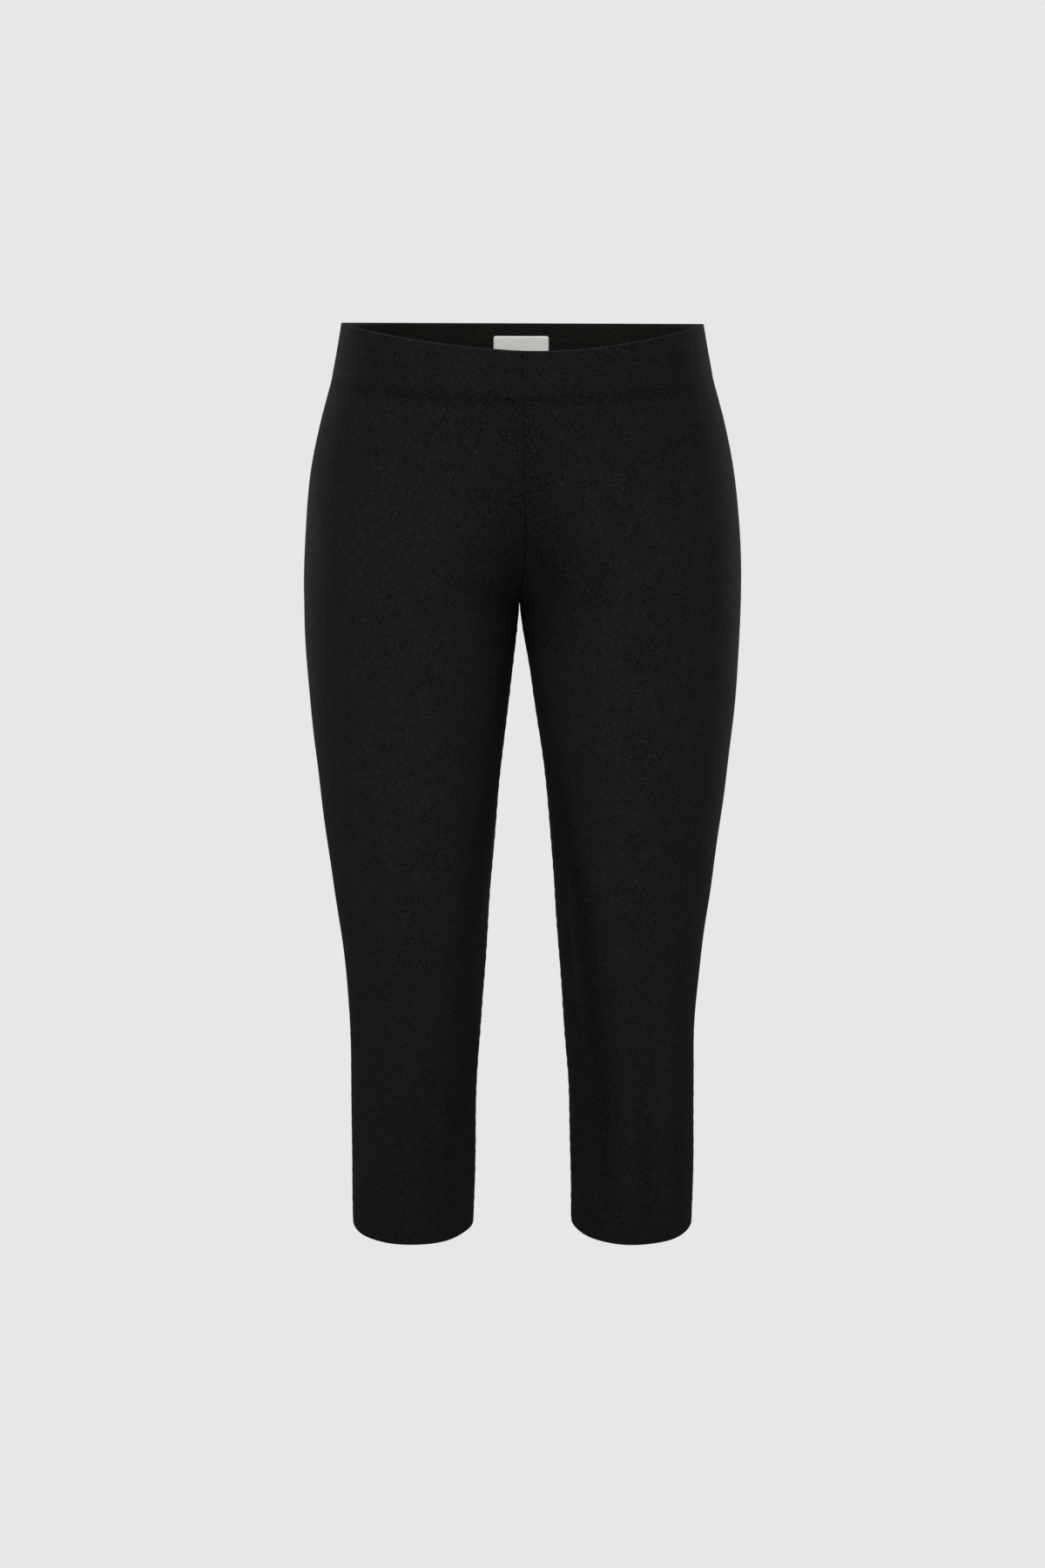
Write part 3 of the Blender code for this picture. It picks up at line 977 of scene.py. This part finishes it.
@dataclass
class LegPanel:
    """One quarter of the garment, from the folded waist edge to the turned-up hem.

    Rolls are the radii that the cloth turns on.  Along a seam the cloth is pulled in by
    seam_pull and puckered; at the crotch point all four panels are pinched together, and their
    centre edges lap by overlap.  Fades are the heights over which each of these comes in.  Rows
    of faces stand in five bands: to the dent, in it, to the crotch's turn, through it, and on
    down the leg.
    """

    panel: Panel
    form: WornForm
    cloth: float = 0.00055
    waist_roll: float = 0.0007
    waist_lip: float = 0.0030
    waist_turn: float = 0.005
    hem_roll: float = 0.00075
    hem_turn: float = 0.025
    hem_waver: float = 0.0004
    hem_fade: float = 0.030
    seam_roll: float = 0.00038
    seam_pull: float = 0.00018
    seam_reach: float = 0.0016
    pucker: float = 0.00016
    pucker_pitches: tuple[float, float] = (0.0085, 0.0131)
    pucker_reach: float = 0.005
    pull_fade: float = 0.006
    bend_least: float = 0.3
    bend_fade: float = 0.005
    allowance: float = 0.0045
    allowance_fade: float = 0.004
    crotch_clear: float = 0.012
    pinch_height: float = 0.010
    pinch_reach: float = 0.008
    overlap: float = 0.00008
    edge_reach: float = 0.0002
    plane_reach: float = 0.001
    plane_fade: float = 0.003
    # fold depth that gives the full painted fold shade, and the most painted highlight that a ridge
    # gets
    deep_fold: float = 0.0024
    high_ridge: float = -0.7
    sway: float = 0.00045
    sway_fade: float = 0.050
    near_columns: tuple[float, ...] = (0.0011, 0.0018, 0.0029, 0.0045)
    lining_shares: tuple[float, ...] = (1.0, 0.55, 0.18)
    main_columns: int = 74
    dent_band: tuple[float, float] = (0.040, 0.053)
    band_rows: tuple[int, ...] = (14, 7, 17, 46, 188)
    roll_steps: int = 10
    turn_rows: int = 9
    swells: Waves = ((41.0, 23.0, 1.0, 1.0), (67.0, -52.0, 2.3, 1.0), (29.0, 88.0, -1.0, 0.7))
    wavers: Waves = ((95.0, 40.0, 0.0, 1.0), (-60.0, 130.0, 0.0, 0.6))

    def stations(self) -> list[Station]:
        """Columns beside one seam.

        Returns:
            Stations from the seam's allowance out to the open cloth.
        """
        roll = self.seam_roll
        columns = [Station(0.0, roll, self.allowance * share) for share in self.lining_shares]
        for angle in np.linspace(math.pi / 2.0, 0.0, 5):
            away, inset = roll * (1.0 - math.sin(angle)), roll * (1.0 - math.cos(angle))
            columns.append(Station(away, inset, 0.0))
        columns += [Station(away, 0.0, 0.0) for away in self.near_columns]
        return columns

    def rows(self) -> tuple[np.ndarray, np.ndarray, np.ndarray, np.ndarray]:
        """Rows from the inner lip over the waist edge, down, and up inside the hem.

        Returns:
            Drop, inset, bunched drop for the fanned band, and walked length of each row.
        """
        form = self.form
        top, foot = self.waist_roll, form.hem - self.hem_roll
        drops, insets, bunched = [], [], []

        def put(drop: float, inset: float, low: float | None = None) -> None:
            """Note one row."""
            drops.append(drop)
            insets.append(inset)
            bunched.append(drop if low is None else low)

        for drop in (self.waist_lip, (self.waist_lip + top) / 2.0):
            put(drop, 2.0 * top)
        turns = [math.pi * step / self.roll_steps for step in range(self.roll_steps + 1)]
        for angle in turns[:-1]:
            put(top - top * math.sin(angle), top + top * math.cos(angle))
        levels = (top, *self.dent_band, form.crotch - form.back_rise_turn, form.crotch, foot)
        for upper, lower, count in zip(levels, levels[1:], self.band_rows):
            for row in range(count):
                t = row / count
                fanned = upper + (lower - upper) * math.sin(math.pi / 2.0 * t)
                fans = lower == form.crotch
                put(upper + (lower - upper) * t, 0.0, fanned if fans else None)
        roll = self.hem_roll
        for angle in turns:
            put(foot + roll * math.sin(angle), roll - roll * math.cos(angle))
        for row in range(1, self.turn_rows + 1):
            put(foot - (self.hem_turn - roll) * row / self.turn_rows, 2.0 * roll)
        drop, inset, low = np.array(drops), np.array(insets), np.array(bunched)
        walk = np.concatenate([[0.0], np.cumsum(np.hypot(np.diff(drop), np.diff(inset)))])
        return drop, inset, low, walk

    def build(self, material: bpy.types.Material) -> bpy.types.Object:
        """Make the panel.

        Args:
            material: the cloth.

        Returns:
            The finished piece.
        """
        form, panel = self.form, self.panel
        drop, inset, low, walk = self.rows()
        seam = self.stations()
        main = np.arange(1, self.main_columns) / self.main_columns
        nominal = np.concatenate([np.zeros(len(seam)), main, np.ones(len(seam))])
        drops = drop[:, None] + (low - drop)[:, None] * (1.0 - nominal[None, :]) ** 2
        girth = form.girth(drops, panel.is_front)
        away, seam_inset, lining = np.array(seam).T
        last = away[-1]
        at_inner, at_main, at_side = np.split(girth, [len(seam), -len(seam)], axis=1)
        main_shares = (last + (at_main - 2.0 * last) * main) / at_main
        shares = [away / at_inner, main_shares, 1.0 - away[::-1] / at_side]
        shares = np.concatenate(shares, axis=1)
        open_cloth = np.zeros(len(main))
        bend = np.concatenate([seam_inset, open_cloth, seam_inset[::-1]])[None, :]
        tuck = np.concatenate([lining, open_cloth, lining[::-1]])[None, :]
        inner_gap = shares * girth
        side_gap = (1.0 - shares) * girth
        gap = np.minimum(inner_gap, side_gap)

        hollow = form.fold_depth(drops, shares, panel)
        from_crotch = np.abs(drops - form.crotch)
        at_crotch = eased(1.0 - from_crotch / self.pinch_height)
        pinch = 1.0 - at_crotch * eased(1.0 - inner_gap / self.pinch_reach)
        depth = (inset[:, None] + hollow + self.unevenness(drops, inner_gap)) * pinch
        inwards = self.seam_normals(form.outward(drops, shares, panel), drops, gap)
        points = form.surface(drops, shares, panel) - inwards * depth[..., None]

        normal = self.seam_normals(self.grid_normals(points), drops, gap)
        turned = form.hem - self.hem_turn - self.allowance_fade / 2.0
        single = eased((drops - form.dent_drop) / self.allowance_fade)
        single *= eased((turned - drops) / self.allowance_fade)
        single *= eased(from_crotch / self.crotch_clear)
        fine, broad = (walk[:, None] * 2.0 * math.pi / pitch for pitch in self.pucker_pitches)
        pucker = self.pucker * (np.sin(fine) + np.sin(broad + 1.0))
        pull = self.seam_pull * np.exp(-((gap / self.seam_reach) ** 2))
        pull += pucker * np.exp(-((gap / self.pucker_reach) ** 2))
        pull *= eased(drops / self.pull_fade)
        bend = bend * (self.bend_least + (1.0 - self.bend_least) * eased(drops / self.bend_fade))
        points -= normal * ((bend + pull) * pinch + tuck * single)[..., None]
        centre_edge = (inner_gap < self.edge_reach) & (drops < form.crotch)
        points[..., 0] -= panel.side * self.overlap * centre_edge
        points[..., 2] += self.hem_sway(points, drops)

        sheet = new_sheet(points.shape[1] - 1, points.shape[0] - 1, points)
        across = panel.side * panel.facing * (side_gap - tuck)
        down = np.broadcast_to(walk[:, None], across.shape)
        add_map(sheet, "cloth", np.stack([across, down], axis=-1))
        add_map(sheet, "seam", np.stack([gap + tuck, walked(points)], axis=-1))
        # hollow values for the cloth's colour: painted shade in the fold troughs, painted highlight
        # on the ridges
        add_value(sheet, "hollow", np.clip(hollow / self.deep_fold, self.high_ridge, 1.0))
        if panel.side * panel.facing < 0.0:
            bmesh.ops.reverse_faces(sheet, faces=sheet.faces)
        name = panel.value + "_cloth"
        return new_piece(name, sheet, material, self.cloth, panel.value)

    def unevenness(self, drops: np.ndarray, across: np.ndarray) -> np.ndarray:
        """Slight swells of worn cloth, different on each panel.

        Args:
            drops: heights of the points.
            across: their distances from the inner seam.

        Returns:
            Depths inwards, in metres.
        """
        turn = 1.7 * self.panel.side + 2.9 * self.panel.facing
        swell = rippled(drops, across, turn, self.swells)
        return self.sway * 0.33 * swell * eased((drops - self.sway_fade) / self.sway_fade)

    def hem_sway(self, points: np.ndarray, drops: np.ndarray) -> np.ndarray:
        """Slight waver of the hem's height, the same on both panels at a seam.

        Args:
            points: places on the cloth.
            drops: their heights.

        Returns:
            Rises, in metres.
        """
        low = eased((drops - self.form.hem + self.hem_fade) / self.hem_fade)
        return self.hem_waver * low * rippled(points[..., 0], points[..., 1], 0.0, self.wavers)

    def grid_normals(self, points: np.ndarray) -> np.ndarray:
        """Unit normals of the cloth's face; columns that share a place take their neighbour's.

        Args:
            points: places on the cloth, by row and column.

        Returns:
            Directions away from the wearer.
        """
        down = np.gradient(points, axis=0)
        right = np.gradient(points, axis=1)
        same = len(self.lining_shares)
        right[:, :same] = right[:, same : same + 1]
        right[:, -same:] = right[:, -same - 1 : -same]
        normal = np.cross(down, right) * -self.panel.side * self.panel.facing
        return normal / np.maximum(np.linalg.norm(normal, axis=-1, keepdims=True), 1.0e-12)

    def seam_normals(self, normal: np.ndarray, drops: np.ndarray, gap: np.ndarray) -> np.ndarray:
        """Normals that lie in the seams' planes at the seams, so both panels' edges stay together.

        Args:
            normal: the face's normals.
            drops: heights of the points.
            gap: distance of the points to their nearest seam.

        Returns:
            Unit directions to tuck the cloth along.
        """
        middle = normal.shape[1] // 2
        centre_seam = (drops < self.form.crotch - 1.0e-6) & (np.arange(drops.shape[1]) < middle)
        in_plane = normal.copy()
        for columns in (slice(0, middle), slice(middle, None)):
            edge = 0 if columns.start == 0 else -1
            in_plane[:, columns] = in_plane[:, [edge]]
        in_plane[..., 0] = np.where(centre_seam, 0.0, in_plane[..., 0])
        in_plane[..., 1] = np.where(centre_seam, in_plane[..., 1], 0.0)
        near = eased(1.0 - (gap - self.plane_reach) / self.plane_fade)[..., None]
        mixed = normal * (1.0 - near) + in_plane * near
        return mixed / np.maximum(np.linalg.norm(mixed, axis=-1, keepdims=True), 1.0e-12)


# ---------------------------------------------------------------- waist elastic and label

@dataclass
class WaistElastic:
    """Wide elastic inside the waist, joined to a ring at the wearer's left side."""

    form: WornForm
    width: float = 0.040
    thick: float = 0.0011
    inset: float = 0.00145
    top: float = 0.0008
    quarter_columns: int = 48
    rows: int = 19
    rib: float = 0.00255
    weld: float = 0.00002

    def ring(self, drops: np.ndarray, inset: float) -> np.ndarray:
        """Points of a closed ring, from the centre back by the left side.

        Args:
            drops: heights of its rows.
            inset: distance inside the cloth's outer face.

        Returns:
            Places, by row and column; the last column is the first again.
        """
        steps = np.arange(self.quarter_columns) / self.quarter_columns
        quarters = (
            (Panel.BACK_LEFT, steps),
            (Panel.FRONT_LEFT, 1.0 - steps),
            (Panel.FRONT_RIGHT, steps),
            (Panel.BACK_RIGHT, 1.0 - steps),
        )
        parts = []
        for panel, shares in quarters:
            down, across = np.meshgrid(drops, shares, indexing="ij")
            depth = inset + self.form.fold_depth(down, across, panel)
            outward = self.form.outward(down, across, panel)
            parts.append(self.form.surface(down, across, panel) - outward * depth[..., None])
        ring = np.concatenate(parts, axis=1)
        return np.concatenate([ring, ring[:, :1]], axis=1)

    def build(self, material: bpy.types.Material) -> bpy.types.Object:
        """Make the elastic.

        Args:
            material: the herringbone tape.

        Returns:
            The finished piece.
        """
        drops = np.linspace(self.top, self.width, self.rows + 1)
        points = self.ring(drops, self.inset + self.thick)
        middle = points[len(points) // 2]
        around = walked(middle)
        around *= round(around[-1] / self.rib) * self.rib / around[-1]
        sheet = new_sheet(points.shape[1] - 1, points.shape[0] - 1, points)
        across = np.broadcast_to(around[None, :], points.shape[:2])
        down = np.broadcast_to(drops[:, None], points.shape[:2])
        add_map(sheet, "weave", np.stack([across, down], axis=-1))
        sheet.normal_update()
        if sum(face.calc_center_median().xy.dot(face.normal.xy) for face in sheet.faces) > 0.0:
            bmesh.ops.reverse_faces(sheet, faces=sheet.faces)
        bmesh.ops.remove_doubles(sheet, verts=sheet.verts, dist=self.weld)
        name = "herringbone_elastic"
        return new_piece(name, sheet, material, self.thick, "waist_elastic")

    @property
    def length(self) -> float:
        """Length of the tape, round the waist."""
        return float(walked(self.ring(np.array([self.width / 2.0]), self.inset)[0])[-1])


@dataclass
class BackLabel:
    """Small bare label sewn by its ends to the elastic at the centre back."""

    form: WornForm
    lining: float
    wide: float = 0.046
    tall: float = 0.020
    drop: float = 0.010
    corner: float = 0.0019
    thick: float = 0.00045
    shift: float = -0.0011
    air: float = 0.0001
    bow: float = 0.0004
    cuts_across: tuple[float, float, float] = (-0.0210, 0.0211, 0.0015)
    cuts_down: tuple[float, float, float] = (-0.0080, 0.0081, 0.0020)

    def on_form(self, x: float, down: float, lift: float) -> Vector:
        """Place on the elastic's inner face.

        Args:
            x: distance from the centre back.
            down: drop below the waist edge.
            lift: distance off the elastic.

        Returns:
            The world point.
        """
        x += self.shift
        drops = np.array([[down]])
        panel = Panel.BACK_LEFT if x >= 0.0 else Panel.BACK_RIGHT
        girth = self.form.girth(drops, False)
        shares = abs(x) / girth
        inwards = self.form.outward(drops, shares, panel) * (self.lining + lift)
        return Vector((self.form.surface(drops, shares, panel) - inwards)[0, 0])

    def build(self, material: bpy.types.Material) -> bpy.types.Object:
        """Make the label.

        Args:
            material: the satin weave.

        Returns:
            The finished piece.
        """
        sheet = bmesh.new()
        bmesh.ops.create_grid(sheet, x_segments=1, y_segments=1, size=0.5)
        bmesh.ops.scale(sheet, vec=(self.wide, self.tall, 1.0), verts=sheet.verts)
        bmesh.ops.bevel(
            sheet, geom=sheet.verts[:], offset=self.corner, offset_type="OFFSET", segments=5,
            profile=0.5, affect="VERTICES", material=-1,
        )
        right, up = Vector((1.0, 0.0, 0.0)), Vector((0.0, 1.0, 0.0))
        for places, way in ((self.cuts_across, right), (self.cuts_down, up)):
            for at in np.arange(*places):
                bmesh.ops.bisect_plane(
                    sheet, geom=sheet.verts[:] + sheet.edges[:] + sheet.faces[:], dist=1.0e-6,
                    plane_co=way * float(at), plane_no=way,
                )
        sheet.verts.ensure_lookup_table()
        sheet.verts.index_update()
        flat = np.array([(vert.co.x, vert.co.y) for vert in sheet.verts])
        add_map(sheet, "label", flat)
        for vert in sheet.verts:
            x, down = vert.co.x, self.drop + self.tall / 2.0 - vert.co.y
            bow = self.bow * (1.0 - (2.0 * x / self.wide) ** 2)
            vert.co = self.on_form(x, down, self.thick + self.air + bow)
        sheet.normal_update()
        if sum(face.normal.y for face in sheet.faces) > 0.0:
            bmesh.ops.reverse_faces(sheet, faces=sheet.faces)
        return new_piece("bare_label", sheet, material, self.thick, "back_label")


# ---------------------------------------------------------------- stitches

def add_stitch(
    thread: bmesh.types.BMesh, middle: Vector, along: Vector, out: Vector, long: float, thin: float
) -> None:
    """Add one short stitch: a slim bead of thread.

    Args:
        thread: the mesh that it joins.
        middle: its middle.
        along: its direction.
        out: away from the cloth.
        long: its length.
        thin: the thread's thickness.
    """
    along = along.normalized()
    out = (out - along * out.dot(along)).normalized()
    cross = out.cross(along)
    turn = Matrix((along, cross, out)).transposed().to_4x4()
    size = Matrix.Diagonal((long, thin, thin, 1.0))
    bmesh.ops.create_icosphere(
        thread, subdivisions=1, radius=0.5, matrix=Matrix.Translation(middle) @ turn @ size
    )


def value_at(at: float, run: np.ndarray, values: np.ndarray) -> Vector:
    """Read a row of three values between those known along a run."""
    return Vector([float(np.interp(at, run, values[:, axis])) for axis in range(3)])


class SeamKind(Enum):
    """The garment's seams, by their thread's piece name."""

    FRONT = "front_seam_thread"
    BACK = "back_seam_thread"
    LEFT_SIDE = "left_side_thread"
    RIGHT_SIDE = "right_side_thread"
    LEFT_INSEAM = "left_inseam_thread"
    RIGHT_INSEAM = "right_inseam_thread"


@dataclass
class SeamThread:
    """The rungs of thread that show at the bottom of one seam's groove."""

    kind: SeamKind
    form: WornForm
    waist_gap: float = 0.0018
    crotch_gap: float = 0.0012
    hem_gap: float = 0.0006
    samples: int = 1200
    pitch: float = 0.0023
    long: float = 0.00090
    thin: float = 0.00024
    sunk: float = 0.00040

    def course(self) -> tuple[Panel, float, float, float]:
        """Where the seam runs.

        Returns:
            The panel that it is read on, its share there, and the drops where it starts and ends.
        """
        crotch, foot = self.form.crotch, self.form.hem - self.hem_gap
        return {
            SeamKind.FRONT: (Panel.FRONT_LEFT, 0.0, self.waist_gap, crotch),
            SeamKind.BACK: (Panel.BACK_LEFT, 0.0, self.waist_gap, crotch),
            SeamKind.LEFT_SIDE: (Panel.FRONT_LEFT, 1.0, self.waist_gap, foot),
            SeamKind.RIGHT_SIDE: (Panel.FRONT_RIGHT, 1.0, self.waist_gap, foot),
            SeamKind.LEFT_INSEAM: (Panel.FRONT_LEFT, 0.0, crotch + self.crotch_gap, foot),
            SeamKind.RIGHT_INSEAM: (Panel.FRONT_RIGHT, 0.0, crotch + self.crotch_gap, foot),
        }[self.kind]

    def build(self, material: bpy.types.Material) -> bpy.types.Object:
        """Make the seam's thread.

        Args:
            material: the thread.

        Returns:
            The finished piece.
        """
        panel, share, start, end = self.course()
        t = np.linspace(0.0, 1.0, self.samples)
        if end <= self.form.crotch:
            t = np.sin(math.pi / 2.0 * t)
        drops = (start + (end - start) * t)[:, None]
        shares = np.full_like(drops, share)
        surface = self.form.surface(drops, shares, panel)[:, 0]
        outward = self.form.outward(drops, shares, panel)[:, 0]
        depth = self.form.fold_depth(drops, shares, panel)[:, 0] + self.sunk
        points = surface - outward * depth[:, None]
        run = walked(points)
        thread = bmesh.new()
        for at in np.arange(self.pitch / 2.0, run[-1], self.pitch):
            middle, out = value_at(at, run, points), value_at(at, run, outward)
            way = value_at(at + self.pitch / 2.0, run, points) - middle
            if way.length >= 1.0e-6:
                add_stitch(thread, middle, way.cross(out), out, self.long, self.thin)
        return new_piece(self.kind.value, thread, material)


@dataclass
class LabelThread:
    """Off-white stitches down both ends of the label."""

    label: BackLabel
    inset: float = 0.0011
    long: float = 0.0019
    thin: float = 0.00028
    count: int = 6
    margin: float = 0.0026
    lift: float = 0.00012
    upwards: float = 0.001

    def build(self, material: bpy.types.Material) -> bpy.types.Object:
        """Make the label's stitches.

        Args:
            material: the thread.

        Returns:
            The finished piece.
        """
        thread = bmesh.new()
        label = self.label
        lift, out = label.thick + self.lift, Vector((0.0, -1.0, 0.0))
        for side in (-1.0, 1.0):
            x = side * (label.wide / 2.0 - self.inset)
            for number in range(self.count):
                share = (number + 0.5) / self.count
                down = label.drop + self.margin + (label.tall - 2.0 * self.margin) * share
                middle = label.on_form(x, down, lift)
                along = label.on_form(x, down - self.upwards, lift) - middle
                add_stitch(thread, middle, along, out, self.long, self.thin)
        return new_piece("label_thread", thread, material)


# ---------------------------------------------------------------- studio

@dataclass
class SoftLight:
    """One rectangular soft light."""

    name: str
    place: tuple[float, float, float]
    target: tuple[float, float, float]
    wide: float
    tall: float
    power: float
    spread: float = 180.0

    def build(self) -> bpy.types.Object:
        """Hang the light."""
        data = bpy.data.lights.new(self.name, "AREA")
        data.shape = "RECTANGLE"
        data.size = self.wide
        data.size_y = self.tall
        data.energy = self.power
        data.spread = math.radians(self.spread)
        lamp = bpy.data.objects.new(self.name, data)
        bpy.context.scene.collection.objects.link(lamp)
        lamp.location = self.place
        way = Vector(self.target) - Vector(self.place)
        lamp.rotation_euler = way.to_track_quat("-Z", "Y").to_euler()
        return lamp


@dataclass
class Studio:
    """Pale seamless ground, even surround and soft lights, with the camera in front."""

    tone: float = 0.799
    distance: float = 1.7382
    pitch: float = 11.926
    lens: float = 50.0
    floor_level: float = -1.9
    floor_size: float = 40.0
    card_level: float = -1.16
    card_size: float = 1.6
    card_tone: float = 0.28
    lights: Sequence[SoftLight] = field(
        default_factory=lambda: (
            SoftLight("front_sky", (-0.6, -1.4, 1.3), (0.0, 0.0, -0.3), 1.6, 1.0, 3.6, 140.0),
            SoftLight("thigh_light", (-0.25, -1.55, 0.3), (-0.01, 0.0, -0.36), 0.7, 0.5, 0.5, 30.0),
            SoftLight("left_strip", (1.15, 1.15, -0.05), (0.0, 0.0, -0.05), 0.6, 0.80, 0.85, 14.0),
            SoftLight("right_strip", (-1.15, 1.15, 0.0), (0.0, 0.0, 0.0), 0.6, 0.66, 0.64, 14.0),
        )
    )

    def lay(self, name: str, level: float, size: float, tone: float) -> bpy.types.Object:
        """Lay a level square of one tone under the garment.

        Args:
            name: the square's name.
            level: its height.
            size: length of its sides.
            tone: its brightness from every side.

        Returns:
            The square.
        """
        square = bmesh.new()
        bmesh.ops.create_grid(square, x_segments=1, y_segments=1, size=size / 2.0)
        bmesh.ops.translate(square, vec=(0.0, 0.0, level), verts=square.verts)
        piece = new_object(name, square, EvenFinish(name + "_tone", tone).make())
        LOG.info("%s: %.1f m wide, marked as stage", name, size)
        return piece

    def build(self) -> None:
        """Set up ground, surround, lights and camera."""
        scene = bpy.context.scene
        scene.view_settings.view_transform = "Standard"
        scene.view_settings.look = "None"
        world = bpy.data.worlds.new("even_surround")
        world.use_nodes = True
        shade = world.node_tree.nodes["Background"]
        shade.inputs["Color"].default_value = (self.tone, self.tone, self.tone, 1.0)
        shade.inputs["Strength"].default_value = 1.0
        scene.world = world
        self.lay("pale_ground", self.floor_level, self.floor_size, self.tone)
        card = self.lay("dark_card", self.card_level, self.card_size, self.card_tone)
        card.visible_camera = False
        for light in self.lights:
            light.build()
        data = bpy.data.cameras.new("front_camera")
        data.lens = self.lens
        data.sensor_width = 36.0
        data.sensor_fit = "AUTO"
        camera = bpy.data.objects.new("front_camera", data)
        scene.collection.objects.link(camera)
        camera.location = (0.0, -self.distance, 0.0)
        camera.rotation_euler = (math.radians(90.0 - self.pitch), 0.0, 0.0)
        scene.camera = camera


# ---------------------------------------------------------------- garment

@dataclass
class CapriPants:
    """The whole garment."""

    form: WornForm = field(default_factory=WornForm)

    def build(self) -> None:
        cloth = ClothFinish().make()
        dark, pale = (0.003, 0.003, 0.003), (0.008, 0.008, 0.008)
        dark_thread = ThreadFinish("dark_thread", dark, pale).make()
        pale_thread = ThreadFinish("pale_thread", (0.55, 0.55, 0.52), (0.80, 0.80, 0.77)).make()
        elastic = WaistElastic(self.form)
        tape = elastic.build(ElasticFinish().make())
        panels = {panel: LegPanel(panel, self.form).build(cloth) for panel in Panel}
        label_maker = BackLabel(self.form, elastic.inset + elastic.thick)
        label = label_maker.build(LabelFinish().make())
        threads = {kind: SeamThread(kind, self.form).build(dark_thread) for kind in SeamKind}
        label_thread = LabelThread(label_maker).build(pale_thread)
        for panel, piece in panels.items():
            self.declare_panel(panel)
        elastic.length
        LOG.info("%d seams sewn", len(threads))

    def declare_panel(self, panel: Panel) -> None:
        """State the flat size that a panel was cut to.

        Args:
            panel: the panel.
        """
        drops = np.linspace(0.0, self.form.hem, 200)[:, None]
        girths = self.form.girth(drops, panel.is_front)[:, 0]
        maker = LegPanel(panel, self.form)
        length = self.form.hem + maker.hem_turn + maker.waist_turn
        width = float(girths.max()) + 2.0 * maker.allowance
        area = float(girths.mean() + 2.0 * maker.allowance) * length
        LOG.info("%s flat: %.3f by %.3f m, %.4f square metres", panel.value, width, length, area)


def main() -> None:
    """Build the garment and its studio."""
    logging.basicConfig(level=logging.INFO, format="%(name)s: %(message)s")
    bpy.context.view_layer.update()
    CapriPants().build()
    Studio().build()
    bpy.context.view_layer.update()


if __name__ == "__main__":
    main()
